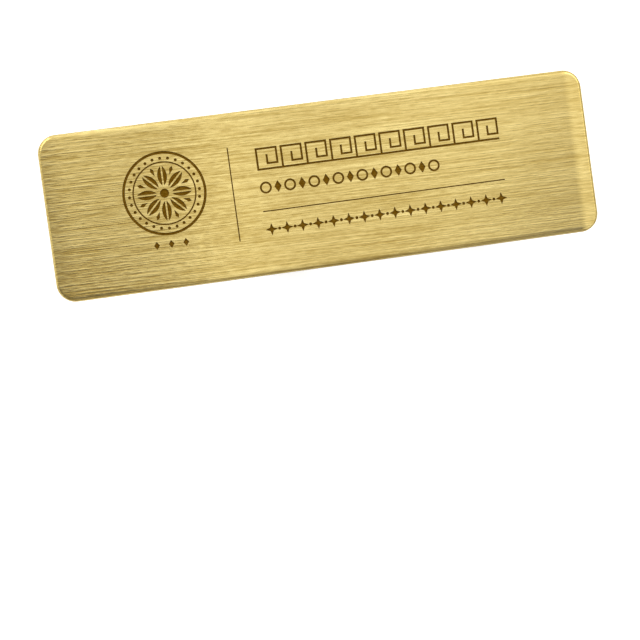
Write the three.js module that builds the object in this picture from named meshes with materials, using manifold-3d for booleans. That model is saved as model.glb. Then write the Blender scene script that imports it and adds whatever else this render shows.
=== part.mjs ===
// A brass name badge: an engraved plate with a pin bar fixed to its back.
// Millimetres. X runs along the plate, Y across it and Z out of its face.
// The badge lies face up on the feet of its pin bar, which stand at z = 0.
import * as THREE from 'three';
import { mergeVertices } from 'three/addons/utils/BufferGeometryUtils.js';
import Module from 'manifold-3d';

// Plate
const plateLength = 76;
const plateWidth = 22.8;
const plateThickness = 1.2;
const cornerRadius = 2.6;
const faceEdgeRadius = 0.5;
const backEdgeChamfer = 0.15;
const endRollLength = 3;
const endRollDrop = 0.2;

// Pin bar: a strip glued to the plate, with an end block, a catch and a pin under it
const stripLength = 32;
const stripWidth = 6;
const stripThickness = 0.8;
const stripCornerRadius = 1.2;
const glueGap = 0.3;
const footDepth = 4;
const footWidth = 4.6;
const footEdgeRadius = 0.7;
const endBlockLength = 4;
const catchLength = 3;
const footInset = 1.2;
const pinDiameter = 0.8;
const pinHeight = 1.35;
const pinReach = 1;
const pinTaperLength = 3;
const pinTipDiameter = 0.16;
const catchClearance = 0.35;
const catchMouthHeight = 1.1;

// Engraving: its depth, and where the rosette, the rules and the bands stand.
// Places along the plate are measured from its left end, and heights from its middle line.
const engravingDepth = 0.15;
const rosettePlace = 16.2;
const rosetteHeight = 1.6;
const tallRulePlace = 25.5;
const tallRuleHeight = 0.15;
const tallRuleLength = 12.9;
const ruleThickness = 0.16;
const bandsPlace = 29.2;
const bandsEndMargin = 12.7;
const longRuleHeight = -2.67;

// Rosette: a rim, a ring of beads, an inner ring, petals with darts between them, and a boss
const rimRadius = 5.55;
const rimLine = 0.36;
const beadCount = 28;
const beadRingRadius = 4.78;
const beadDiameter = 0.42;
const innerRingRadius = 4.25;
const innerRingLine = 0.2;
const petalCount = 8;
const petalRoot = 1.05;
const petalTip = 3.75;
const petalWidth = 1.3;
const petalVeinWidth = 0.22;
const dartRoot = 2.6;
const dartTip = 3.85;
const dartWidth = 0.5;
const bossRadius = 0.62;

// Key band: a base line with square hooks on it.
// A hook's corners are shares of its width and of the band's height, along the middle of its line.
const keyBandHeight = 4.5;
const keyBandTall = 3.1;
const keyLine = 0.28;
const keyHookWidth = 2.72;
const keyHookGap = 0.68;
const keyHook = [
  { across: 0, up: 0 },
  { across: 0, up: 1 },
  { across: 1, up: 1 },
  { across: 1, up: 0.26 },
  { across: 0.5, up: 0.26 },
  { across: 0.5, up: 0.65 },
];

// Chain band: small rings and lozenges in turn
const chainBandHeight = 0.55;
const chainBandTall = 1.65;
const chainBandShare = 0.74;
const chainPitch = 1.7;
const chainRingLine = 0.27;
const chainLozengeWidth = 1;

// Star band: four-pointed stars with a dot between each two
const starBandHeight = -5.2;
const starTall = 1.7;
const starWaist = 0.33;
const starPitch = 2.2;
const starDotDiameter = 0.42;

// Three lozenges under the rosette
const trioHeight = -5.35;
const trioCount = 3;
const trioPitch = 2;
const trioTall = 1.1;
const trioWidth = 0.8;

// Smoothness of round forms
const cornerSteps = 8;
const edgeSteps = 4;
const ringHalfTurnSteps = 28;
const smallRingHalfTurnSteps = 8;
const dotHalfTurnSteps = 4;
const petalSteps = 4;
const pinSegments = 12;
const footEdgeSegments = 4;
const cutMargin = 0.5;

const brass = { color: 0xd2b56f, roughness: 0.34, metalness: 1 };
const nickel = { color: 0xc4c3bd, roughness: 0.3, metalness: 1 };

const wasm = await Module();
wasm.setup();

const plateBack = footDepth + stripThickness + glueGap;
const plateFace = plateBack + plateThickness;
const halfLength = plateLength / 2;
const halfWidth = plateWidth / 2;
const bandStart = bandsPlace - halfLength;
const bandLength = plateLength - bandsPlace - bandsEndMargin;

// A closed geometry becomes a solid that can be joined and cut
function toSolid(geometry) {
  const bare = geometry.clone();
  bare.deleteAttribute('normal');
  bare.deleteAttribute('uv');
  const merged = mergeVertices(bare);
  const mesh = new wasm.Mesh({
    numProp: 3,
    vertProperties: new Float32Array(merged.attributes.position.array),
    triVerts: new Uint32Array(merged.index.array),
  });
  return new wasm.Manifold(mesh);
}

function toMesh(name, solid, finish) {
  const { vertProperties, triVerts } = solid.getMesh();
  const geometry = new THREE.BufferGeometry();
  geometry.setAttribute('position', new THREE.BufferAttribute(vertProperties, 3));
  geometry.setIndex(new THREE.BufferAttribute(triVerts, 1));
  geometry.computeVertexNormals();
  const mesh = new THREE.Mesh(geometry, new THREE.MeshStandardMaterial(finish));
  mesh.name = name;
  return mesh;
}

function joinAll(solids) {
  return solids.reduce((whole, solid) => whole.add(solid));
}

function roundedRectangle(length, width, radius) {
  const shape = new THREE.Shape();
  const x = length / 2 - radius;
  const y = width / 2 - radius;
  shape.absarc(x, y, radius, 0, Math.PI / 2);
  shape.absarc(-x, y, radius, Math.PI / 2, Math.PI);
  shape.absarc(-x, -y, radius, Math.PI, Math.PI * 1.5);
  shape.absarc(x, -y, radius, Math.PI * 1.5, Math.PI * 2);
  return shape;
}

// Plate: rings of outline points from back to face, each set in by its own amount
function outlineStations(inset) {
  const stations = [];
  for (let step = 0; step <= cornerSteps; step += 1) {
    const angle = (Math.PI / 2) * (step / cornerSteps);
    stations.push({
      x: halfLength - cornerRadius + (cornerRadius - inset) * Math.cos(angle),
      y: halfWidth - cornerRadius + (cornerRadius - inset) * Math.sin(angle),
    });
  }
  if (endRollLength > cornerRadius) {
    stations.push({ x: halfLength - endRollLength, y: halfWidth - inset });
  }
  const leftHalf = stations.map(({ x, y }) => ({ x: -x, y })).reverse();
  return [...stations, ...leftHalf];
}

// The face falls away in a soft curve near both ends, and the back stays flat
function rolledHeight(x, z) {
  const intoRoll = Math.max(0, Math.abs(x) - halfLength + endRollLength) / endRollLength;
  const shareOfThickness = (z - plateBack) / plateThickness;
  return z - endRollDrop * intoRoll ** 2 * shareOfThickness;
}

function plateLevels() {
  const levels = [
    { inset: backEdgeChamfer, z: plateBack },
    { inset: 0, z: plateBack + backEdgeChamfer },
  ];
  for (let step = 0; step <= edgeSteps; step += 1) {
    const angle = (Math.PI / 2) * (step / edgeSteps);
    levels.push({
      inset: faceEdgeRadius * (1 - Math.cos(angle)),
      z: plateFace - faceEdgeRadius * (1 - Math.sin(angle)),
    });
  }
  return levels;
}

// Each station has a point on the upper long side and one straight across on the lower
function blankPlate() {
  const positions = [];
  const triangles = [];
  const levels = plateLevels();
  const perSide = outlineStations(0).length;
  for (const { inset, z } of levels) {
    for (const side of [1, -1]) {
      for (const { x, y } of outlineStations(inset)) {
        positions.push(x, side * y, rolledHeight(x, z));
      }
    }
  }
  const upper = (level, station) => level * 2 * perSide + station;
  const lower = (level, station) => upper(level, station) + perSide;
  const quad = (a, b, c, d) => triangles.push(a, b, c, a, c, d);
  const top = levels.length - 1;
  for (let station = 0; station < perSide - 1; station += 1) {
    const next = station + 1;
    quad(upper(0, station), lower(0, station), lower(0, next), upper(0, next));
    quad(upper(top, next), lower(top, next), lower(top, station), upper(top, station));
    for (let level = 0; level < top; level += 1) {
      quad(upper(level, station), upper(level, next), upper(level + 1, next), upper(level + 1, station));
      quad(lower(level, next), lower(level, station), lower(level + 1, station), lower(level + 1, next));
    }
  }
  const last = perSide - 1;
  for (let level = 0; level < top; level += 1) {
    quad(lower(level, 0), upper(level, 0), upper(level + 1, 0), lower(level + 1, 0));
    quad(upper(level, last), lower(level, last), lower(level + 1, last), upper(level + 1, last));
  }
  const geometry = new THREE.BufferGeometry();
  geometry.setAttribute('position', new THREE.Float32BufferAttribute(positions, 3));
  geometry.setIndex(triangles);
  return toSolid(geometry);
}

// A flat shape at a place on the face becomes the solid that is cut away there
function cutter(shape, x, y, halfTurnSteps = dotHalfTurnSteps) {
  const geometry = new THREE.ExtrudeGeometry(shape, {
    depth: engravingDepth + cutMargin,
    bevelEnabled: false,
    curveSegments: halfTurnSteps,
  });
  geometry.translate(x, y, plateFace - engravingDepth);
  return toSolid(geometry);
}

function disc(radius) {
  return new THREE.Shape().absarc(0, 0, radius, 0, Math.PI * 2);
}

function ring(radius, line) {
  const shape = disc(radius + line / 2);
  shape.holes.push(new THREE.Path().absarc(0, 0, radius - line / 2, 0, Math.PI * 2));
  return shape;
}

function bar(length, width) {
  const x = length / 2;
  const y = width / 2;
  return new THREE.Shape([[-x, -y], [x, -y], [x, y], [-x, y]].map(([a, b]) => new THREE.Vector2(a, b)));
}

function lozenge(width, tall) {
  const x = width / 2;
  const y = tall / 2;
  return new THREE.Shape([[x, 0], [0, y], [-x, 0], [0, -y]].map(([a, b]) => new THREE.Vector2(a, b)));
}

function star(tall, waist) {
  const corners = [];
  for (let point = 0; point < 8; point += 1) {
    const reach = point % 2 === 0 ? tall / 2 : waist;
    const angle = (Math.PI / 4) * point;
    corners.push(new THREE.Vector2(reach * Math.cos(angle), reach * Math.sin(angle)));
  }
  return new THREE.Shape(corners);
}

// Turns points given along and across a spoke of the rosette into a shape
function onSpoke(points, angle) {
  return new THREE.Shape(points.map(({ along, out }) => new THREE.Vector2(
    along * Math.cos(angle) + out * Math.sin(angle),
    along * Math.sin(angle) - out * Math.cos(angle),
  )));
}

// One half of a leaf between its vein and an arc, on the side that the sign gives
function halfLeaf(root, tip, width, vein, side, angle) {
  const chord = tip - root;
  const rise = (width - vein) / 2;
  const radius = (chord ** 2 / 4 + rise ** 2) / (2 * rise);
  const points = [];
  for (let step = 0; step <= petalSteps; step += 1) {
    const fromMiddle = chord * (step / petalSteps - 0.5);
    const bulge = rise - radius + Math.sqrt(radius ** 2 - fromMiddle ** 2);
    points.push({ along: (root + tip) / 2 + fromMiddle, out: side * (vein / 2 + bulge) });
  }
  return onSpoke(points, angle);
}

// A small kite that points outwards between two petals
function dart(root, tip, width, angle) {
  const widest = (root + 2 * tip) / 3;
  return onSpoke([
    { along: root, out: 0 },
    { along: widest, out: -width / 2 },
    { along: tip, out: 0 },
    { along: widest, out: width / 2 },
  ], angle);
}

function rosette() {
  const x = rosettePlace - halfLength;
  const y = rosetteHeight;
  const cutters = [
    cutter(ring(rimRadius, rimLine), x, y, ringHalfTurnSteps),
    cutter(ring(innerRingRadius, innerRingLine), x, y, ringHalfTurnSteps),
    cutter(disc(bossRadius), x, y, smallRingHalfTurnSteps),
  ];
  for (let bead = 0; bead < beadCount; bead += 1) {
    const angle = (Math.PI * 2 * bead) / beadCount;
    const beadX = x + beadRingRadius * Math.cos(angle);
    const beadY = y + beadRingRadius * Math.sin(angle);
    cutters.push(cutter(disc(beadDiameter / 2), beadX, beadY));
  }
  for (let petal = 0; petal < petalCount; petal += 1) {
    const angle = (Math.PI * 2 * petal) / petalCount;
    const between = angle + Math.PI / petalCount;
    for (const side of [1, -1]) {
      cutters.push(cutter(halfLeaf(petalRoot, petalTip, petalWidth, petalVeinWidth, side, angle), x, y));
    }
    cutters.push(cutter(dart(dartRoot, dartTip, dartWidth, between), x, y));
  }
  return cutters;
}

function rules() {
  return [
    cutter(bar(ruleThickness, tallRuleLength), tallRulePlace - halfLength, tallRuleHeight),
    cutter(bar(bandLength, ruleThickness), bandStart + bandLength / 2, longRuleHeight),
  ];
}

// Middles of motifs that fill a length from end to end at nearly the wanted pitch
function evenPlaces(length, motifWidth, wantedPitch) {
  const steps = Math.max(1, Math.round((length - motifWidth) / wantedPitch));
  const pitch = (length - motifWidth) / steps;
  return Array.from({ length: steps + 1 }, (_, step) => bandStart + motifWidth / 2 + step * pitch);
}

// One straight stroke of the key band, round the line between two points
function keyStroke(from, to) {
  const length = Math.abs(to.x - from.x) + keyLine;
  const tall = Math.abs(to.y - from.y) + keyLine;
  return cutter(bar(length, tall), (from.x + to.x) / 2, (from.y + to.y) / 2);
}

function keyBand() {
  const span = bandLength - keyLine;
  const rise = keyBandTall - keyLine;
  const wantedPitch = keyHookWidth + keyHookGap;
  const hookCount = Math.round((span + keyHookGap) / wantedPitch);
  const stretch = span / (hookCount * wantedPitch - keyHookGap);
  const firstX = bandStart + keyLine / 2;
  const baseY = keyBandHeight - rise / 2;
  const cutters = [keyStroke({ x: firstX, y: baseY }, { x: firstX + span, y: baseY })];
  for (let hook = 0; hook < hookCount; hook += 1) {
    const corners = keyHook.map(({ across, up }) => ({
      x: firstX + (hook * wantedPitch + across * keyHookWidth) * stretch,
      y: baseY + up * rise,
    }));
    for (let corner = 1; corner < corners.length; corner += 1) {
      cutters.push(keyStroke(corners[corner - 1], corners[corner]));
    }
  }
  return cutters;
}

function chainBand() {
  const places = evenPlaces(bandLength * chainBandShare, chainBandTall, chainPitch);
  return places.map((x, place) => {
    const link = place % 2 === 0
      ? ring((chainBandTall - chainRingLine) / 2, chainRingLine)
      : lozenge(chainLozengeWidth, chainBandTall);
    return cutter(link, x, chainBandHeight, smallRingHalfTurnSteps);
  });
}

function starBand() {
  const places = evenPlaces(bandLength, starTall, starPitch);
  const stars = places.map((x) => cutter(star(starTall, starWaist), x, starBandHeight));
  const dots = places.slice(1).map((x, place) => (
    cutter(disc(starDotDiameter / 2), (x + places[place]) / 2, starBandHeight)
  ));
  return [...stars, ...dots];
}

function lozengeTrio() {
  const cutters = [];
  for (let place = 0; place < trioCount; place += 1) {
    const x = rosettePlace - halfLength + (place - (trioCount - 1) / 2) * trioPitch;
    cutters.push(cutter(lozenge(trioWidth, trioTall), x, trioHeight));
  }
  return cutters;
}

function badgePlate() {
  const engraving = joinAll([
    ...rosette(),
    ...rules(),
    ...keyBand(),
    ...chainBand(),
    ...starBand(),
    ...lozengeTrio(),
  ]);
  return toMesh('badge_plate', blankPlate().subtract(engraving), brass);
}

// A block under the strip with a flat foot and rounded long edges
function footBlock(length, middleX) {
  const halfFoot = footWidth / 2;
  const shape = new THREE.Shape();
  shape.moveTo(halfFoot, footDepth + stripThickness / 2);
  shape.lineTo(-halfFoot, footDepth + stripThickness / 2);
  shape.absarc(-halfFoot + footEdgeRadius, footEdgeRadius, footEdgeRadius, Math.PI, Math.PI * 1.5);
  shape.absarc(halfFoot - footEdgeRadius, footEdgeRadius, footEdgeRadius, Math.PI * 1.5, Math.PI * 2);
  const geometry = new THREE.ExtrudeGeometry(shape, {
    depth: length,
    bevelEnabled: false,
    curveSegments: footEdgeSegments,
  });
  geometry.rotateX(Math.PI / 2);
  geometry.rotateZ(Math.PI / 2);
  geometry.translate(middleX - length / 2, 0, 0);
  return toSolid(geometry);
}

// A round wire that runs along X and tapers to a blunt tip
function pinWire(startX, endX) {
  const radius = pinDiameter / 2;
  const profile = [
    new THREE.Vector2(0, startX),
    new THREE.Vector2(radius, startX),
    new THREE.Vector2(radius, endX - pinTaperLength),
    new THREE.Vector2(pinTipDiameter / 2, endX),
    new THREE.Vector2(0, endX),
  ];
  const geometry = new THREE.LatheGeometry(profile, pinSegments);
  geometry.rotateZ(-Math.PI / 2);
  geometry.translate(0, 0, pinHeight);
  return toSolid(geometry);
}

function pinBar() {
  const stripGeometry = new THREE.ExtrudeGeometry(
    roundedRectangle(stripLength, stripWidth, stripCornerRadius),
    { depth: stripThickness, bevelEnabled: false, curveSegments: cornerSteps },
  );
  stripGeometry.translate(0, 0, footDepth);
  const endBlockX = -stripLength / 2 + footInset + endBlockLength / 2;
  const catchX = stripLength / 2 - footInset - catchLength / 2;
  const channelRadius = pinDiameter / 2 + catchClearance;
  const channelGeometry = new THREE.CylinderGeometry(
    channelRadius, channelRadius, catchLength + 2 * cutMargin, pinSegments,
  );
  channelGeometry.rotateZ(Math.PI / 2);
  channelGeometry.translate(catchX, 0, pinHeight);
  const mouthGeometry = new THREE.BoxGeometry(catchLength + 2 * cutMargin, footWidth, catchMouthHeight);
  mouthGeometry.translate(catchX, -footWidth / 2, pinHeight);
  const catchBlock = footBlock(catchLength, catchX)
    .subtract(toSolid(channelGeometry))
    .subtract(toSolid(mouthGeometry));
  const pin = pinWire(endBlockX, catchX + catchLength / 2 + pinReach);
  const whole = joinAll([toSolid(stripGeometry), footBlock(endBlockLength, endBlockX), catchBlock, pin]);
  return toMesh('pin_bar', whole, nickel);
}

const badge = new THREE.Group();
badge.name = 'name_badge';
badge.add(badgePlate(), pinBar());

export default badge;
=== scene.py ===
# A brushed brass name badge that lies face up on its pin bar, on a pale table.
# Metres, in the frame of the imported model. The dictionaries give millimetres and degrees.
import bpy
import bmesh
from math import pi, radians
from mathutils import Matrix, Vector


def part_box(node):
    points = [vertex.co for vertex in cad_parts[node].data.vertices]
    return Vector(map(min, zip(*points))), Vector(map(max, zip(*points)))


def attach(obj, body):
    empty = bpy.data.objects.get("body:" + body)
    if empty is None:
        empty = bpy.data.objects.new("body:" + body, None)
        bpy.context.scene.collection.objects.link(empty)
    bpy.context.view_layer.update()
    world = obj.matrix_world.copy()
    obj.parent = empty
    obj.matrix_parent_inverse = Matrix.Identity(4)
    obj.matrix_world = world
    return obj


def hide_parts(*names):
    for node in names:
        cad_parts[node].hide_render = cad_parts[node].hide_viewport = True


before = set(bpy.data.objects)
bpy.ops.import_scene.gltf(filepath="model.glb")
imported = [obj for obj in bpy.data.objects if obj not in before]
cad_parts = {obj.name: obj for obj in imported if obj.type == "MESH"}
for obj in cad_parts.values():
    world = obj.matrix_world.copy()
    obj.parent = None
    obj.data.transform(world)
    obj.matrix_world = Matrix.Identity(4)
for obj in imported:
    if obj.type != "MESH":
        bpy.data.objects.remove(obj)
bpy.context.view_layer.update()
plateLow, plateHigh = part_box("badge_plate")
barLow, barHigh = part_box("pin_bar")
mm = 0.001
tolerance = 1e-6   # metres within which two places are one
sliceTolerance = 1e-8
print("frame loaded:", sorted(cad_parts))


# Modelling helpers

def clearSelection():
    if bpy.context.object and bpy.context.object.mode != "OBJECT":
        bpy.ops.object.mode_set(mode="OBJECT")
    bpy.ops.object.select_all(action="DESELECT")


def selectOnly(piece):
    clearSelection()
    piece.select_set(True)
    bpy.context.view_layer.objects.active = piece


def takePrimitive(name):  # names the new primitive and puts its place into its mesh
    piece = bpy.context.object
    piece.name = name
    piece.data.name = name
    bpy.ops.object.transform_apply(location=True, rotation=True, scale=True)
    return piece


def addBox(name, low, high):
    clearSelection()
    low, high = Vector(low), Vector(high)
    bpy.ops.mesh.primitive_cube_add(size=1, location=(low + high) / 2, scale=high - low)
    return takePrimitive(name)


def edit():
    bpy.ops.object.mode_set(mode="EDIT")


def leave():
    bpy.ops.object.mode_set(mode="OBJECT")


def pick(kind, test):  # selects the vertices, edges or faces that pass the test
    bpy.ops.mesh.select_mode(type=kind)
    bpy.ops.mesh.select_all(action="DESELECT")
    cage = bmesh.from_edit_mesh(bpy.context.object.data)
    parts = {"VERT": cage.verts, "EDGE": cage.edges, "FACE": cage.faces}[kind]
    for part in parts:
        part.select_set(bool(test(part)))
    cage.select_flush_mode()
    bmesh.update_edit_mesh(bpy.context.object.data)


def near(a, b):
    return abs(a - b) < tolerance


def sliceAt(point, normal, clearOuter=False):
    bpy.ops.mesh.select_all(action="SELECT")
    bpy.ops.mesh.bisect(
        plane_co=point, plane_no=normal, clear_outer=clearOuter, threshold=sliceTolerance)


def midpoint(edge):
    return (edge.verts[0].co + edge.verts[1].co) / 2


def runsAlongZ(edge):
    a, b = edge.verts
    return near(a.co.x, b.co.x) and near(a.co.y, b.co.y)


def atHeight(edge, z):
    return all(near(vert.co.z, z) for vert in edge.verts)


def applyModifier(piece, kind, **settings):
    selectOnly(piece)
    bpy.ops.object.modifier_add(type=kind)
    modifier = piece.modifiers[-1]
    for key, value in settings.items():
        setattr(modifier, key, value)
    bpy.ops.object.modifier_apply(modifier=modifier.name)


def boolean(piece, tool, operation):  # the faces that the tool makes keep the tool's material
    applyModifier(
        piece, "BOOLEAN", object=tool, operation=operation, solver="EXACT", material_mode="TRANSFER"
    )
    bpy.data.objects.remove(tool, do_unlink=True)


def joinPieces(name, pieces):
    clearSelection()
    for piece in pieces:
        piece.select_set(True)
    bpy.context.view_layer.objects.active = pieces[0]
    bpy.ops.object.join()
    pieces[0].name = name
    return pieces[0]


def smoothBelow(piece, degrees):
    selectOnly(piece)
    bpy.ops.object.shade_smooth_by_angle(angle=radians(degrees))


# Materials

def newMaterial(name):
    material = bpy.data.materials.new(name)
    material.use_nodes = True
    nodes = material.node_tree.nodes
    return material, nodes, material.node_tree.links, nodes["Principled BSDF"]


def mathNode(nodes, links, operation, first, second):
    node = nodes.new("ShaderNodeMath")
    node.operation = operation
    for socket, value in zip(node.inputs, (first, second)):
        if isinstance(value, (int, float)):
            socket.default_value = value
        else:
            links.new(value, socket)
    return node.outputs["Value"]


def mixColours(nodes, links, factor, first, second):
    mix = nodes.new("ShaderNodeMix")
    mix.data_type = "RGBA"
    links.new(factor, mix.inputs["Factor"])
    for socket, value in ((mix.inputs[6], first), (mix.inputs[7], second)):
        if isinstance(value, tuple):
            socket.default_value = (*value, 1)
        else:
            links.new(value, socket)
    return mix.outputs[2]


def mapRange(nodes, links, value, low, high, toLow, toHigh):
    node = nodes.new("ShaderNodeMapRange")
    links.new(value, node.inputs["Value"])
    for key, number in (("From Min", low), ("From Max", high), ("To Min", toLow), ("To Max", toHigh)):
        node.inputs[key].default_value = number
    return node.outputs["Result"]


def blend(nodes, links, first, second, share):  # the share is the second one's
    return mathNode(nodes, links, "ADD", mathNode(nodes, links, "MULTIPLY", first, 1 - share),
                    mathNode(nodes, links, "MULTIPLY", second, share))


hairlineNoise = {"Scale": 1, "Detail": 1, "Roughness": 0.6}
lineMiddle = 0.5
lineRange = (0.3, 0.7)   # the roughness changes between these values of the lines


def buildHairlines():  # long thin scratches left by an abrasive belt
    group = bpy.data.node_groups.new("hairlines", "ShaderNodeTree")
    sockets = (("Place", "NodeSocketVector"), ("Length", "NodeSocketFloat"), ("Width", "NodeSocketFloat"),
               ("Shift", "NodeSocketFloat"))
    for name, kind in sockets:
        group.interface.new_socket(name=name, in_out="INPUT", socket_type=kind)
    group.interface.new_socket(name="Lines", in_out="OUTPUT", socket_type="NodeSocketFloat")
    nodes, links = group.nodes, group.links
    inside = nodes.new("NodeGroupInput")
    outside = nodes.new("NodeGroupOutput")
    along = mathNode(nodes, links, "DIVIDE", 1.0, inside.outputs["Length"])
    across = mathNode(nodes, links, "DIVIDE", 1.0, inside.outputs["Width"])
    stretch = nodes.new("ShaderNodeCombineXYZ")
    for key, value in (("X", along), ("Y", across), ("Z", across)):
        links.new(value, stretch.inputs[key])
    scaled = nodes.new("ShaderNodeVectorMath")
    scaled.operation = "MULTIPLY"
    links.new(inside.outputs["Place"], scaled.inputs[0])
    links.new(stretch.outputs["Vector"], scaled.inputs[1])
    noise = nodes.new("ShaderNodeTexNoise")
    noise.noise_dimensions = "4D"
    for key, value in hairlineNoise.items():
        noise.inputs[key].default_value = value
    links.new(scaled.outputs["Vector"], noise.inputs["Vector"])
    links.new(inside.outputs["Shift"], noise.inputs["W"])
    links.new(noise.outputs["Fac"], outside.inputs["Lines"])
    return group


hairlines = buildHairlines()


def addHairlines(nodes, links, place, length, width, shift):
    node = nodes.new("ShaderNodeGroup")
    node.node_tree = hairlines
    links.new(place, node.inputs["Place"])
    for key, value in (("Length", length * mm), ("Width", width * mm), ("Shift", shift)):
        node.inputs[key].default_value = value
    return node.outputs["Lines"]


def addPlace(nodes, links, turn):  # the piece's own coordinates, turned a little about Z
    coordinates = nodes.new("ShaderNodeTexCoord")
    mapping = nodes.new("ShaderNodeMapping")
    mapping.inputs["Rotation"].default_value = (0, 0, radians(turn))
    links.new(coordinates.outputs["Object"], mapping.inputs["Vector"])
    return mapping.outputs["Vector"]


def addBump(nodes, links, shader, height, depth):  # the depth of the relief is in millimetres
    bump = nodes.new("ShaderNodeBump")
    bump.inputs["Distance"].default_value = depth * mm
    links.new(height, bump.inputs["Height"])
    links.new(bump.outputs["Normal"], shader.inputs["Normal"])


def roughenBy(nodes, links, shader, lines, ends):  # the roughness where the lines are low, and where high
    links.new(mapRange(nodes, links, lines, *lineRange, *ends), shader.inputs["Roughness"])


brassFinish = {
    "colour": (1.0, 0.80, 0.305),
    "darkLine": (0.62, 0.44, 0.115),
    "toneRange": (0.38, 0.62),
    "roughness": (0.15, 0.11),
    "anisotropy": 1.0, "anisotropyTurn": 0.25,
    "brushTurn": 0.85,       # the belt ran slightly off the plate's length
    "short": {"length": 1.4, "width": 0.20, "shift": 0.0},
    "fine": {"length": 14, "width": 0.21, "shift": 4.0},
    "broad": {"length": 25, "width": 1.1, "shift": 9.0},
    "fineShare": 0.6, "broadShare": 0.25,
    "grooveDepth": 0.028,
    "biteAndGlint": (1.3, 0.68),     # the lines are deeper at the left end than at the right, and their colour contrast is stronger there, which is painted glint
    "rim": {"from": 0.5, "to": 0.22, "biteAndGlint": 0.2},   # and fade out where the edge is polished round
}


def makeBrass(finish):
    material, nodes, links, shader = newMaterial("brushed brass")
    place = addPlace(nodes, links, finish["brushTurn"])
    short = addHairlines(nodes, links, place, **finish["short"])
    fine = addHairlines(nodes, links, place, **finish["fine"])
    broad = addHairlines(nodes, links, place, **finish["broad"])
    lines = blend(nodes, links, short, fine, finish["fineShare"])
    split = nodes.new("ShaderNodeSeparateXYZ")
    links.new(place, split.inputs["Vector"])
    # The lines grow stronger towards the left end. In the bump they are deeper, and in the colour their darker
    # and brighter tones spread further apart, which paints the glints of light at that end.
    biteAndGlint = mapRange(nodes, links, split.outputs["X"], plateLow.x, plateHigh.x, *finish["biteAndGlint"])
    rim = finish["rim"]
    rimLow, rimHigh = plateHigh.z - rim["from"] * mm, plateHigh.z - rim["to"] * mm
    rimFade = mapRange(nodes, links, split.outputs["Z"], rimLow, rimHigh, rim["biteAndGlint"], 1.0)
    biteAndGlint = mathNode(nodes, links, "MULTIPLY", biteAndGlint, rimFade)
    lines = mathNode(nodes, links, "MULTIPLY", mathNode(nodes, links, "SUBTRACT", lines, lineMiddle), biteAndGlint)
    lines = mathNode(nodes, links, "ADD", lines, lineMiddle)
    tone = blend(nodes, links, lines, broad, finish["broadShare"])
    toneMask = mapRange(nodes, links, tone, *finish["toneRange"], 0.0, 1.0)
    colour = mixColours(nodes, links, toneMask, finish["darkLine"], finish["colour"])
    links.new(colour, shader.inputs["Base Color"])
    roughenBy(nodes, links, shader, lines, finish["roughness"])
    addBump(nodes, links, shader, lines, finish["grooveDepth"])
    tangent = nodes.new("ShaderNodeTangent")
    tangent.direction_type = "UV_MAP"
    tangent.uv_map = "brushing"
    links.new(tangent.outputs["Tangent"], shader.inputs["Tangent"])
    shader.inputs["Metallic"].default_value = 1
    shader.inputs["Anisotropic"].default_value = finish["anisotropy"]
    shader.inputs["Anisotropic Rotation"].default_value = finish["anisotropyTurn"]
    return material


engravingFinish = {
    "colour": (0.197, 0.095, 0.003),
    "worn": (0.28, 0.158, 0.016),
    "wornRange": (0.45, 0.75),
    "roughness": (0.7, 0.5),
    "grain": {"length": 0.5, "width": 0.12, "shift": 2.0},
    "grainDepth": 0.004,
    "metallic": 0.8, "specular": 0.1,
}


def makeEngraving(finish):
    material, nodes, links, shader = newMaterial("engraving brown")
    place = addPlace(nodes, links, 0)
    grain = addHairlines(nodes, links, place, **finish["grain"])
    wornMask = mapRange(nodes, links, grain, *finish["wornRange"], 0.0, 1.0)
    colour = mixColours(nodes, links, wornMask, finish["colour"], finish["worn"])
    links.new(colour, shader.inputs["Base Color"])
    roughenBy(nodes, links, shader, grain, finish["roughness"])
    addBump(nodes, links, shader, grain, finish["grainDepth"])
    shader.inputs["Metallic"].default_value = finish["metallic"]
    shader.inputs["Specular IOR Level"].default_value = finish["specular"]
    return material


nickelFinish = {
    "colour": (0.70, 0.69, 0.655),
    "dull": (0.56, 0.55, 0.52),
    "toneRange": (0.3, 0.65),
    "roughness": (0.35, 0.22),
    "rolled": {"length": 6, "width": 0.12, "shift": 6.0},
    "grooveDepth": 0.0012,
}


def makeNickel(finish):
    material, nodes, links, shader = newMaterial("nickel plate")
    place = addPlace(nodes, links, 0)
    rolled = addHairlines(nodes, links, place, **finish["rolled"])
    toneMask = mapRange(nodes, links, rolled, *finish["toneRange"], 0.0, 1.0)
    colour = mixColours(nodes, links, toneMask, finish["dull"], finish["colour"])
    links.new(colour, shader.inputs["Base Color"])
    roughenBy(nodes, links, shader, rolled, finish["roughness"])
    addBump(nodes, links, shader, rolled, finish["grooveDepth"])
    shader.inputs["Metallic"].default_value = 1
    return material


brass = makeBrass(brassFinish)
engravingBrown = makeEngraving(engravingFinish)
nickel = makeNickel(nickelFinish)
print("materials made")


# Engraving tools: solids that stand in the face and are cut away from it

engraving = {
    "depth": 0.15, "rise": 0.4,
    "rosettePlace": 16.2, "rosetteHeight": 1.6,
    "tallRulePlace": 25.5, "tallRuleHeight": 0.15, "tallRuleLength": 12.9,
    "longRuleHeight": -2.67, "ruleThickness": 0.16,
    "bandsPlace": 29.2, "bandsEndMargin": 12.7,
}
grooveFloor = plateHigh.z - engraving["depth"] * mm
grooveTop = plateHigh.z + engraving["rise"] * mm
bandStart = plateLow.x + engraving["bandsPlace"] * mm
bandEnd = plateHigh.x - engraving["bandsEndMargin"] * mm


def raiseTool(name):  # lifts flat faces on the groove's floor into a closed tool
    bpy.ops.mesh.select_mode(type="FACE")
    bpy.ops.mesh.select_all(action="SELECT")
    bpy.ops.mesh.extrude_region_move(TRANSFORM_OT_translate={"value": (0, 0, grooveTop - grooveFloor)})
    bpy.ops.mesh.select_all(action="SELECT")
    bpy.ops.mesh.normals_make_consistent(inside=False)
    leave()
    tool = takePrimitive(name)
    tool.data.materials.clear()
    tool.data.materials.append(engravingBrown)
    return tool


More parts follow.
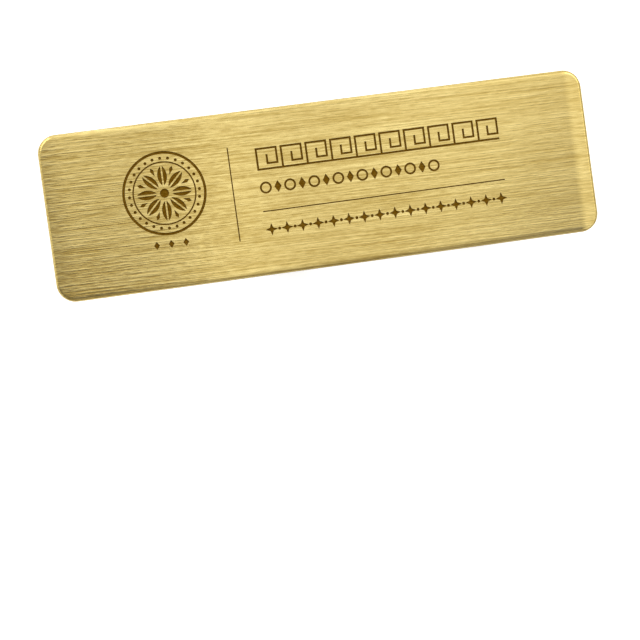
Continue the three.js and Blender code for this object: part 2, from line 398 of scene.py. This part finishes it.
def repeatAlong(tool, count, pitch, **settings):
    applyModifier(tool, "ARRAY", count=count, use_relative_offset=False, use_constant_offset=True,
                  constant_offset_displace=(pitch, 0, 0), **settings)


def discTool(name, radius, x, y, steps):
    clearSelection()
    bpy.ops.mesh.primitive_circle_add(
        vertices=steps, radius=radius, fill_type="NGON", location=(x, y, grooveFloor))
    edit()
    return raiseTool(name)


def ringTool(name, radius, line, x, y, steps):
    clearSelection()
    bpy.ops.mesh.primitive_circle_add(
        vertices=steps, radius=radius - line / 2, location=(x, y, grooveFloor))
    edit()
    bpy.ops.mesh.select_mode(type="VERT")
    bpy.ops.mesh.select_all(action="SELECT")
    bpy.ops.mesh.extrude_region_move(TRANSFORM_OT_translate={"value": (0, 0, 0)})
    growth = (radius + line / 2) / (radius - line / 2)
    bpy.ops.transform.resize(value=(growth, growth, 1))
    return raiseTool(name)


def lozengeTool(name, width, tall, x, y):
    clearSelection()
    bpy.ops.mesh.primitive_circle_add(
        vertices=4, radius=tall / 2, fill_type="NGON", location=(x, y, grooveFloor))
    edit()
    bpy.ops.mesh.select_all(action="SELECT")
    bpy.ops.transform.resize(value=(width / tall, 1, 1))
    return raiseTool(name)


def starTool(name, tall, waist, x, y):  # every second corner is drawn in to the waist
    clearSelection()
    bpy.ops.mesh.primitive_circle_add(
        vertices=8, radius=tall / 2, fill_type="NGON", location=(x, y, grooveFloor))
    edit()
    pick("VERT", lambda vert: not near(vert.co.x, 0) and not near(vert.co.y, 0))
    bpy.ops.transform.resize(value=(2 * waist / tall, 2 * waist / tall, 1))
    return raiseTool(name)


def barTool(name, length, width, x, y):
    clearSelection()
    bpy.ops.mesh.primitive_plane_add(size=1, location=(x, y, grooveFloor))
    edit()
    bpy.ops.mesh.select_all(action="SELECT")
    bpy.ops.transform.resize(value=(length, width, 1))
    return raiseTool(name)


rosette = {
    "rimRadius": 5.55, "rimLine": 0.36, "rimSteps": 128,
    "beads": 28, "beadRing": 4.78, "bead": 0.42, "beadSteps": 16,
    "innerRadius": 4.25, "innerLine": 0.2, "innerSteps": 96,
    "petals": 8, "petalRoot": 1.05, "petalTip": 3.75, "petalWidth": 1.3, "petalVein": 0.22, "petalSteps": 72,
    "dartRoot": 2.6, "dartTip": 3.85, "dartWidth": 0.5,
    "boss": 0.62, "bossSteps": 32,
}


def spinCopies(count, centre):  # copies what is selected evenly round the centre
    bpy.ops.mesh.select_all(action="SELECT")
    bpy.ops.mesh.spin(
        steps=count - 1, dupli=True, angle=2 * pi * (count - 1) / count, center=centre, axis=(0, 0, 1))


def halfPetal(side, centre, style):  # a slice of a disc whose chord is the petal's vein
    chord = (style["petalTip"] - style["petalRoot"]) * mm
    bulge = (style["petalWidth"] - style["petalVein"]) / 2 * mm
    radius = (chord ** 2 / 4 + bulge ** 2) / (2 * bulge)
    chordY = style["petalVein"] / 2 * mm
    middle = Vector((centre.x + style["petalRoot"] * mm + chord / 2, centre.y, grooveFloor))
    middle.y += side * (chordY + bulge - radius)
    clearSelection()
    bpy.ops.mesh.primitive_circle_add(
        vertices=style["petalSteps"], radius=radius, fill_type="NGON", location=middle)
    edit()
    sliceAt((centre.x, centre.y + side * chordY, grooveFloor), (0, -side, 0), clearOuter=True)
    spinCopies(style["petals"], centre)
    return raiseTool("petal")


def dartTool(centre, style):  # a lozenge that is widest two thirds of the way out
    widest = (style["dartRoot"] + 2 * style["dartTip"]) / 3
    clearSelection()
    bpy.ops.mesh.primitive_circle_add(
        vertices=4, radius=style["dartWidth"] / 2 * mm, fill_type="NGON",
        location=(centre.x + widest * mm, centre.y, grooveFloor))
    edit()
    for sign, reach in ((1, style["dartTip"]), (-1, style["dartRoot"])):
        pick("VERT", lambda vert: sign * vert.co.x > tolerance)
        shift = (reach - widest) * mm - sign * style["dartWidth"] / 2 * mm
        bpy.ops.transform.translate(value=(shift, 0, 0))
    bpy.ops.mesh.select_all(action="SELECT")
    bpy.ops.transform.rotate(value=pi / style["petals"], orient_axis="Z", center_override=centre)
    spinCopies(style["petals"], centre)
    return raiseTool("dart")


def beadTool(centre, style):
    clearSelection()
    bpy.ops.mesh.primitive_circle_add(
        vertices=style["beadSteps"], radius=style["bead"] / 2 * mm, fill_type="NGON",
        location=(centre.x + style["beadRing"] * mm, centre.y, grooveFloor))
    edit()
    spinCopies(style["beads"], centre)
    return raiseTool("bead")


def rosetteTools(style):
    x, y = plateLow.x + engraving["rosettePlace"] * mm, engraving["rosetteHeight"] * mm
    centre = Vector((x, y, grooveFloor))
    return [
        ringTool("rim", style["rimRadius"] * mm, style["rimLine"] * mm, x, y, style["rimSteps"]),
        ringTool("inner ring", style["innerRadius"] * mm, style["innerLine"] * mm, x, y, style["innerSteps"]),
        discTool("boss", style["boss"] * mm, x, y, style["bossSteps"]),
        beadTool(centre, style),
        dartTool(centre, style),
        halfPetal(1, centre, style),
        halfPetal(-1, centre, style),
    ]


keyBand = {"height": 4.5, "tall": 3.1, "line": 0.28, "hookWidth": 2.72, "hookGap": 0.68,
           "innerRise": 0.26, "tongueTop": 0.65, "weld": 0.01}


def drawStroke(start, finish, line):  # pulls the last square's edge on, and makes a square at the next corner
    step = Vector(finish) - Vector(start)
    way = step.normalized()

    def leading(edge):
        offset = midpoint(edge) - Vector(start)
        return near(offset.dot(way), line / 2) and near((offset - way * (line / 2)).length, 0)

    pick("EDGE", leading)
    for distance in (step.length - line, line):
        bpy.ops.mesh.extrude_region_move(TRANSFORM_OT_translate={"value": way * distance})


def keyBandTool(style):
    line = style["line"] * mm
    span = bandEnd - bandStart - line
    wanted = (style["hookWidth"] + style["hookGap"]) * mm
    hooks = round((span + style["hookGap"] * mm) / wanted)
    stretch = span / (hooks * wanted - style["hookGap"] * mm)
    pitch, width = wanted * stretch, style["hookWidth"] * mm * stretch
    rise = style["tall"] * mm - line
    first = Vector((bandStart + line / 2, style["height"] * mm - rise / 2, grooveFloor))
    clearSelection()
    bpy.ops.mesh.primitive_plane_add(size=line, location=first)
    tool = takePrimitive("key band")
    edit()
    corners = [(0, 0), (0, rise), (width, rise), (width, style["innerRise"] * rise),
               (width / 2, style["innerRise"] * rise), (width / 2, style["tongueTop"] * rise)]
    corners = [first + Vector((x, y, 0)) for x, y in corners]
    for start, finish in zip(corners, corners[1:]):
        drawStroke(start, finish, line)
    drawStroke(first, first + Vector((pitch, 0, 0)), line)

    def inNextHook(face):
        middle = face.calc_center_median()
        return middle.x > first.x + pitch - line / 2 and middle.y < first.y + line

    pick("FACE", inNextHook)
    bpy.ops.mesh.delete(type="FACE")   # the next hook's own square closes the base line
    leave()
    repeatAlong(tool, hooks, pitch, use_merge_vertices=True, merge_threshold=style["weld"] * mm)
    edit()
    sliceAt((bandEnd, 0, 0), (1, 0, 0), clearOuter=True)
    return raiseTool("key band")


chainBand = {"height": 0.55, "tall": 1.65, "share": 0.74, "pitch": 1.7, "ringLine": 0.27, "ringSteps": 32,
             "lozengeWidth": 1.0}
starBand = {"height": -5.2, "tall": 1.7, "waist": 0.33, "pitch": 2.2, "dot": 0.42, "dotSteps": 16}
trio = {"height": -5.35, "count": 3, "pitch": 2.0, "tall": 1.1, "width": 0.8}


def evenSteps(length, motif, wanted):  # the motif fills the length from end to end
    steps = max(1, round((length - motif) / wanted))
    return steps, (length - motif) / steps


def chainTools(style):
    tall = style["tall"] * mm
    line = style["ringLine"] * mm
    steps, pitch = evenSteps((bandEnd - bandStart) * style["share"], tall, style["pitch"] * mm)
    x, y = bandStart + tall / 2, style["height"] * mm
    ring = ringTool("chain ring", (tall - line) / 2, line, x, y, style["ringSteps"])
    repeatAlong(ring, steps // 2 + 1, 2 * pitch)
    lozenge = lozengeTool("chain lozenge", style["lozengeWidth"] * mm, tall, x + pitch, y)
    repeatAlong(lozenge, (steps + 1) // 2, 2 * pitch)
    return [ring, lozenge]


def starTools(style):
    tall = style["tall"] * mm
    steps, pitch = evenSteps(bandEnd - bandStart, tall, style["pitch"] * mm)
    x, y = bandStart + tall / 2, style["height"] * mm
    star = starTool("star", tall, style["waist"] * mm, x, y)
    repeatAlong(star, steps + 1, pitch)
    dot = discTool("star dot", style["dot"] / 2 * mm, x + pitch / 2, y, style["dotSteps"])
    repeatAlong(dot, steps, pitch)
    return [star, dot]


def ruleTools():
    thickness, tallLength = engraving["ruleThickness"] * mm, engraving["tallRuleLength"] * mm
    tallX, tallY = plateLow.x + engraving["tallRulePlace"] * mm, engraving["tallRuleHeight"] * mm
    longX, longY = (bandStart + bandEnd) / 2, engraving["longRuleHeight"] * mm
    return [
        barTool("tall rule", thickness, tallLength, tallX, tallY),
        barTool("long rule", bandEnd - bandStart, thickness, longX, longY),
    ]


def trioTool(style):
    firstX = plateLow.x + engraving["rosettePlace"] * mm - (style["count"] - 1) / 2 * style["pitch"] * mm
    tool = lozengeTool("trio", style["width"] * mm, style["tall"] * mm, firstX, style["height"] * mm)
    repeatAlong(tool, style["count"], style["pitch"] * mm)
    return tool


# Plate

plate = {
    "cornerRadius": 2.6, "cornerSteps": 16,
    "faceEdge": 0.5, "faceEdgeSteps": 6,
    "backEdge": 0.15, "backEdgeSteps": 2,
    "endRoll": {"axis": 0, "length": 3.0, "drop": 0.2, "steps": 8},
    "sideRoll": {"axis": 1, "length": 0.9, "drop": 0.06, "steps": 5},
    "uvCube": 10, "smoothAngle": 32, "normalWeight": 90,
}
rowDigits = 4          # vertices are told apart by their places in millimetres, to this many digits
rowTolerance = 6e-5    # in millimetres too


def rollEdges(piece, axis, length, drop, steps):  # the face falls away softly over its last stretch, both ways
    across = Vector([float(index == axis) for index in range(3)])
    middle = (plateLow.z + plateHigh.z) / 2
    start = plateHigh[axis] - length * mm
    for step in range(steps):
        for way in (1, -1):
            sliceAt(across * way * (start + length * mm * step / steps), across)
    cage = bmesh.from_edit_mesh(piece.data)
    places = sorted({round(abs(vert.co[axis]) / mm, rowDigits) for vert in cage.verts
                     if vert.co.z > middle and abs(vert.co[axis]) > start + tolerance})
    for place in places:
        pick("VERT", lambda vert: vert.co.z > middle and abs(abs(vert.co[axis]) / mm - place) < rowTolerance)
        share = (place * mm - start) / (length * mm)
        bpy.ops.transform.translate(value=(0, 0, -drop * mm * share ** 2))


def buildPlate(style):
    piece = addBox("brass_plate", plateLow, plateHigh)
    edit()
    pick("EDGE", runsAlongZ)
    bpy.ops.mesh.bevel(offset=style["cornerRadius"] * mm, segments=style["cornerSteps"], affect="EDGES")
    pick("EDGE", lambda edge: atHeight(edge, plateHigh.z))
    bpy.ops.mesh.bevel(offset=style["faceEdge"] * mm, segments=style["faceEdgeSteps"], affect="EDGES")
    pick("EDGE", lambda edge: atHeight(edge, plateLow.z))
    bpy.ops.mesh.bevel(offset=style["backEdge"] * mm, segments=style["backEdgeSteps"], affect="EDGES")
    rollEdges(piece, **style["endRoll"])
    rollEdges(piece, **style["sideRoll"])
    leave()
    piece.data.materials.append(brass)
    tools = [*rosetteTools(rosette), keyBandTool(keyBand), *chainTools(chainBand),
             *starTools(starBand), *ruleTools(), trioTool(trio)]
    boolean(piece, joinPieces("engraving tools", tools), "DIFFERENCE")
    piece.data.uv_layers.new(name="brushing")
    selectOnly(piece)
    edit()
    bpy.ops.mesh.select_all(action="SELECT")
    bpy.ops.uv.cube_project(cube_size=style["uvCube"] * mm, correct_aspect=False, scale_to_bounds=False)
    leave()
    smoothBelow(piece, style["smoothAngle"])
    applyModifier(piece, "WEIGHTED_NORMAL", keep_sharp=True, weight=style["normalWeight"])
    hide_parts("badge_plate")
    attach(piece, "root")


buildPlate(plate)
print("plate engraved")


# Pin bar

pinBar = {
    "stripThickness": 0.8, "stripCorner": 1.2, "stripCornerSteps": 8,
    "footWidth": 4.6, "footEdge": 0.7, "footEdgeSteps": 6, "footInset": 1.2,
    "endBlock": 4.0, "catch": 3.0,
    "pin": 0.8, "pinHeight": 1.35, "pinReach": 1.0, "roundSteps": 32,
    "taper": 3.0, "taperStations": (0.0, 0.35, 0.7, 1.0), "taperCurve": 1.3, "tip": 0.16,
    "channelClearance": 0.35, "channelLength": 9.0, "mouth": 1.1, "mouthPast": 1.0,
    "softEdge": 0.1, "softEdgeSteps": 3, "softEdgeAngle": 40, "smoothAngle": 35,
}


def footBlock(name, startX, length, style):
    halfWidth = style["footWidth"] / 2 * mm
    top = barHigh.z - style["stripThickness"] / 2 * mm
    block = addBox(name, (startX, -halfWidth, barLow.z), (startX + length, halfWidth, top))
    edit()
    pick("EDGE", lambda edge: atHeight(edge, barLow.z) and near(edge.verts[0].co.y, edge.verts[1].co.y))
    bpy.ops.mesh.bevel(offset=style["footEdge"] * mm, segments=style["footEdgeSteps"], affect="EDGES")
    leave()
    return block


def pinWire(startX, endX, style):
    radius = style["pin"] / 2 * mm
    clearSelection()
    bpy.ops.mesh.primitive_cylinder_add(
        vertices=style["roundSteps"], radius=radius, depth=endX - startX, rotation=(0, pi / 2, 0),
        location=((startX + endX) / 2, 0, barLow.z + style["pinHeight"] * mm))
    wire = takePrimitive("pin")
    edit()
    # The point narrows in a long soft curve, from one station to the next
    stations = [(share, endX - style["taper"] * mm * (1 - share)) for share in style["taperStations"]]
    for share, stationX in stations[:-1]:
        sliceAt((stationX, 0, 0), (1, 0, 0))
    for share, stationX in stations[1:]:
        pick("VERT", lambda vert: near(vert.co.x, stationX))
        shrink = 1 - (1 - style["tip"] / style["pin"]) * share ** style["taperCurve"]
        bpy.ops.transform.resize(value=(1, shrink, shrink))
    leave()
    return wire


def buildPinBar(style):
    inset = style["footInset"] * mm
    stripLow = (barLow.x, barLow.y, barHigh.z - style["stripThickness"] * mm)
    strip = addBox("pin_fastening", stripLow, barHigh)
    edit()
    pick("EDGE", runsAlongZ)
    bpy.ops.mesh.bevel(offset=style["stripCorner"] * mm, segments=style["stripCornerSteps"], affect="EDGES")
    leave()
    endBlock = footBlock("end block", barLow.x + inset, style["endBlock"] * mm, style)
    catchX = barHigh.x - inset - style["catch"] * mm
    catch = footBlock("catch", catchX, style["catch"] * mm, style)
    pinZ = barLow.z + style["pinHeight"] * mm
    clearSelection()
    bpy.ops.mesh.primitive_cylinder_add(
        vertices=style["roundSteps"], radius=(style["pin"] / 2 + style["channelClearance"]) * mm,
        depth=style["channelLength"] * mm, rotation=(0, pi / 2, 0), location=(catchX, 0, pinZ))
    boolean(catch, takePrimitive("channel"), "DIFFERENCE")
    halfMouth, past = style["mouth"] / 2 * mm, style["mouthPast"] * mm
    mouth = addBox("mouth", (catchX - past, -style["footWidth"] * mm, pinZ - halfMouth),
                   (catchX + style["catch"] * mm + past, 0, pinZ + halfMouth))
    boolean(catch, mouth, "DIFFERENCE")
    pinStart = barLow.x + inset + style["endBlock"] / 2 * mm
    pinEnd = barHigh.x - inset + style["pinReach"] * mm
    wire = pinWire(pinStart, pinEnd, style)
    for part in (endBlock, catch, wire):
        boolean(strip, part, "UNION")
    applyModifier(strip, "BEVEL", width=style["softEdge"] * mm, segments=style["softEdgeSteps"],
                  limit_method="ANGLE", angle_limit=radians(style["softEdgeAngle"]), harden_normals=False)
    smoothBelow(strip, style["smoothAngle"])
    applyModifier(strip, "WEIGHTED_NORMAL", keep_sharp=True)
    strip.data.materials.clear()
    strip.data.materials.append(nickel)
    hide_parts("pin_bar")
    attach(strip, "root")


buildPinBar(pinBar)

adhesive = {
    "inset": 0.3, "corner": 0.9, "cornerSteps": 8, "softEdge": 0.04, "softEdgeSteps": 2, "smoothAngle": 35,
    "colour": (0.80, 0.80, 0.78), "roughness": (0.55, 0.35),
    "grain": {"length": 0.25, "width": 0.25, "shift": 3.0},
}


def layAdhesive(style):  # the tape that holds the pin bar to the plate
    inset = Vector((style["inset"], style["inset"], 0)) * mm
    low = Vector((barLow.x, barLow.y, barHigh.z)) + inset
    high = Vector((barHigh.x, barHigh.y, plateLow.z)) - inset
    tape = addBox("adhesive_tape", low, high)
    edit()
    pick("EDGE", runsAlongZ)
    bpy.ops.mesh.bevel(offset=style["corner"] * mm, segments=style["cornerSteps"], affect="EDGES")
    pick("EDGE", lambda edge: atHeight(edge, low.z) or atHeight(edge, high.z))
    bpy.ops.mesh.bevel(offset=style["softEdge"] * mm, segments=style["softEdgeSteps"], affect="EDGES")
    leave()
    material, nodes, links, shader = newMaterial("adhesive tape")
    place = addPlace(nodes, links, 0)
    foam = addHairlines(nodes, links, place, **style["grain"])
    roughenBy(nodes, links, shader, foam, style["roughness"])
    shader.inputs["Base Color"].default_value = (*style["colour"], 1)
    tape.data.materials.append(material)
    smoothBelow(tape, style["smoothAngle"])
    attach(tape, "root")


layAdhesive(adhesive)
print("pin bar made")


# Table, light and camera

table = {"size": 4000, "colour": (0.7, 0.7, 0.7), "roughness": 0.7, "glow": 0.77}


def layTable(style):
    clearSelection()
    bpy.ops.mesh.primitive_plane_add(size=style["size"] * mm, location=(0, 0, 0))
    floor = takePrimitive("table")
    material, nodes, links, shader = newMaterial("pale table")
    shader.inputs["Base Color"].default_value = (*style["colour"], 1)
    shader.inputs["Roughness"].default_value = style["roughness"]
    shader.inputs["Emission Color"].default_value = (1, 1, 1, 1)
    lightPath = nodes.new("ShaderNodeLightPath")   # the table glows to the camera alone, not in the metal
    glow = mathNode(nodes, links, "MULTIPLY", lightPath.outputs["Is Camera Ray"], style["glow"])
    links.new(glow, shader.inputs["Emission Strength"])
    floor.data.materials.append(material)


layTable(table)

# The studio is a white tent, stated by angles from straight up. Each row gives its brightness
# from left to right, and the rows go from near to far.
tent = {
    "reach": 90,
    "rows": [
        {"height": -85, "levels": [(-90, 0.03), (90, 0.03)]},
        {"height": -72, "levels": [(-90, 0.3), (0, 0.45), (90, 0.3)]},
        {"height": -40, "levels": [(-90, 0.35), (0, 0.35), (5, 0.45), (12, 0.45), (18, 0.35), (90, 0.35)]},
        {"height": -4, "levels": [
            (-85, 0.9), (-70, 0.7), (-50, 0.1), (-12, 0.15), (-1.5, 0.05), (1, 0.14), (3.2, 0.4), (3.8, 0.88),
            (5, 0.9), (5.8, 0.62), (11, 0.48), (13.9, 0.2), (14.4, 0.15), (17, 0.1), (22, 0.7), (45, 0.6),
            (70, 0.7), (82, 0.1)]},
        {"height": 5, "levels": [
            (-85, 1.2), (-70, 0.8), (-55, 0.3), (-12, 0.7), (-1.5, 0.97), (1, 1.08), (3.2, 1.02), (3.8, 1.3),
            (5, 1.3), (5.8, 1.2), (11, 1.38), (13.9, 1.32), (14.4, 1.1), (17, 1.02), (22, 1.14), (45, 0.85),
            (70, 0.7), (82, 0.2)]},
        {"height": 15, "levels": [
            (-85, 1.0), (-45, 0.4), (-12, 0.8), (-1.5, 0.95), (1.5, 0.85), (3.2, 0.6), (5.8, 0.38), (11, 0.55),
            (14.4, 1.1), (17, 1.15), (22, 1.2), (45, 1.1), (90, 0.5)]},
        {"height": 28, "levels": [
            (-90, 0.8), (-12, 0.95), (5, 1.25), (14, 1.4), (22, 1.25), (45, 1.0), (90, 0.5)]},
        {"height": 52, "levels": [(-90, 0.6), (-12, 1.05), (5, 1.3), (22, 1.3), (45, 0.9), (90, 0.4)]},
        {"height": 68, "levels": [(-90, 0.5), (0, 0.95), (90, 0.5)]},
        {"height": 80, "levels": [(-90, 0.8), (-40, 1.5), (40, 1.5), (90, 0.5)]},
    ],
    "colours": [
        (0.05, (1.0, 1.02, 1.8)), (0.3, (1.0, 0.96, 0.92)), (0.8, (1.0, 0.972, 0.96)),
        (1.1, (0.99, 0.985, 1.02)), (1.3, (0.975, 1.0, 1.09)), (1.45, (0.93, 1.0, 1.4))],
    "brightest": 2.0,
}


def angleOf(nodes, links, side, up):
    turn = nodes.new("ShaderNodeMath")
    turn.operation = "ARCTAN2"
    links.new(side, turn.inputs[0])
    links.new(up, turn.inputs[1])
    return mathNode(nodes, links, "MULTIPLY", turn.outputs["Value"], 180 / pi)


def addRamp(nodes, links, factor, stops):  # each stop is a place from 0 to 1 and a colour
    ramp = nodes.new("ShaderNodeValToRGB")
    links.new(factor, ramp.inputs["Fac"])
    elements = ramp.color_ramp.elements
    while len(elements) < len(stops):
        elements.new(0.5)
    for element, (place, colour) in zip(elements, stops):
        element.position = place
        element.color = (*colour, 1)
    return ramp.outputs["Color"]


def buildTent(style):
    world = bpy.data.worlds.new("white tent")
    bpy.context.scene.world = world
    world.use_nodes = True
    nodes, links = world.node_tree.nodes, world.node_tree.links
    coordinates = nodes.new("ShaderNodeTexCoord")
    split = nodes.new("ShaderNodeSeparateXYZ")
    links.new(coordinates.outputs["Generated"], split.inputs["Vector"])
    rows, reach, brightest = style["rows"], style["reach"], style["brightest"]
    side = angleOf(nodes, links, split.outputs["X"], split.outputs["Z"])
    across = mapRange(nodes, links, side, -reach, reach, 0, 1)
    height = angleOf(nodes, links, split.outputs["Y"], split.outputs["Z"])

    def rowLevel(row):
        stops = [((angle + reach) / (2 * reach), (value / brightest,) * 3) for angle, value in row["levels"]]
        return addRamp(nodes, links, across, stops)

    level = rowLevel(rows[0])
    for nearer, farther in zip(rows, rows[1:]):
        share = mapRange(nodes, links, height, nearer["height"], farther["height"], 0, 1)
        level = mixColours(nodes, links, share, level, rowLevel(farther))
    tint = addRamp(nodes, links, level, [(value / brightest, colour) for value, colour in style["colours"]])
    background = nodes["Background"]
    links.new(tint, background.inputs["Color"])
    links.new(mathNode(nodes, links, "MULTIPLY", level, brightest), background.inputs["Strength"])


buildTent(tent)

# The low lamp isn't reflected in metal, so it brightens the table and little else
lamps = [
    {"name": "far left lamp", "place": (-700, 750, 800), "size": (900, 900), "power": 3, "inMetal": True},
    {"name": "far right lamp", "place": (900, 650, 800), "size": (900, 900), "power": 3, "inMetal": True},
    {"name": "near right lamp", "place": (900, -600, 800), "size": (900, 900), "power": 1.2, "inMetal": True},
    {"name": "low table lamp", "place": (-650, 950, 170), "size": (300, 200), "power": 45, "inMetal": False},
]


def hangLamps(styles):
    for style in styles:
        data = bpy.data.lights.new(style["name"], "AREA")
        data.shape = "RECTANGLE"
        data.size, data.size_y = [side * mm for side in style["size"]]
        data.energy = style["power"]
        lamp = bpy.data.objects.new(style["name"], data)
        bpy.context.scene.collection.objects.link(lamp)
        lamp.location = Vector(style["place"]) * mm
        lamp.rotation_euler = lamp.location.to_track_quat("Z", "Y").to_euler()
        lamp.visible_glossy = style["inMetal"]


hangLamps(lamps)

camera = {
    "lens": 100, "sensor": 36, "clip": (10, 20000),
    "place": (-32.29, -11.81, 249.03),
    "turn": (-0.595, -7.008, -7.953),
}


def placeCamera(style):
    data = bpy.data.cameras.new("camera")
    data.lens = style["lens"]
    data.sensor_width = style["sensor"]
    data.clip_start, data.clip_end = [reach * mm for reach in style["clip"]]
    eye = bpy.data.objects.new("camera", data)
    bpy.context.scene.collection.objects.link(eye)
    eye.location = Vector(style["place"]) * mm
    eye.rotation_euler = [radians(angle) for angle in style["turn"]]
    bpy.context.scene.camera = eye


placeCamera(camera)
bpy.context.scene.view_settings.view_transform = "Standard"
print("studio ready")
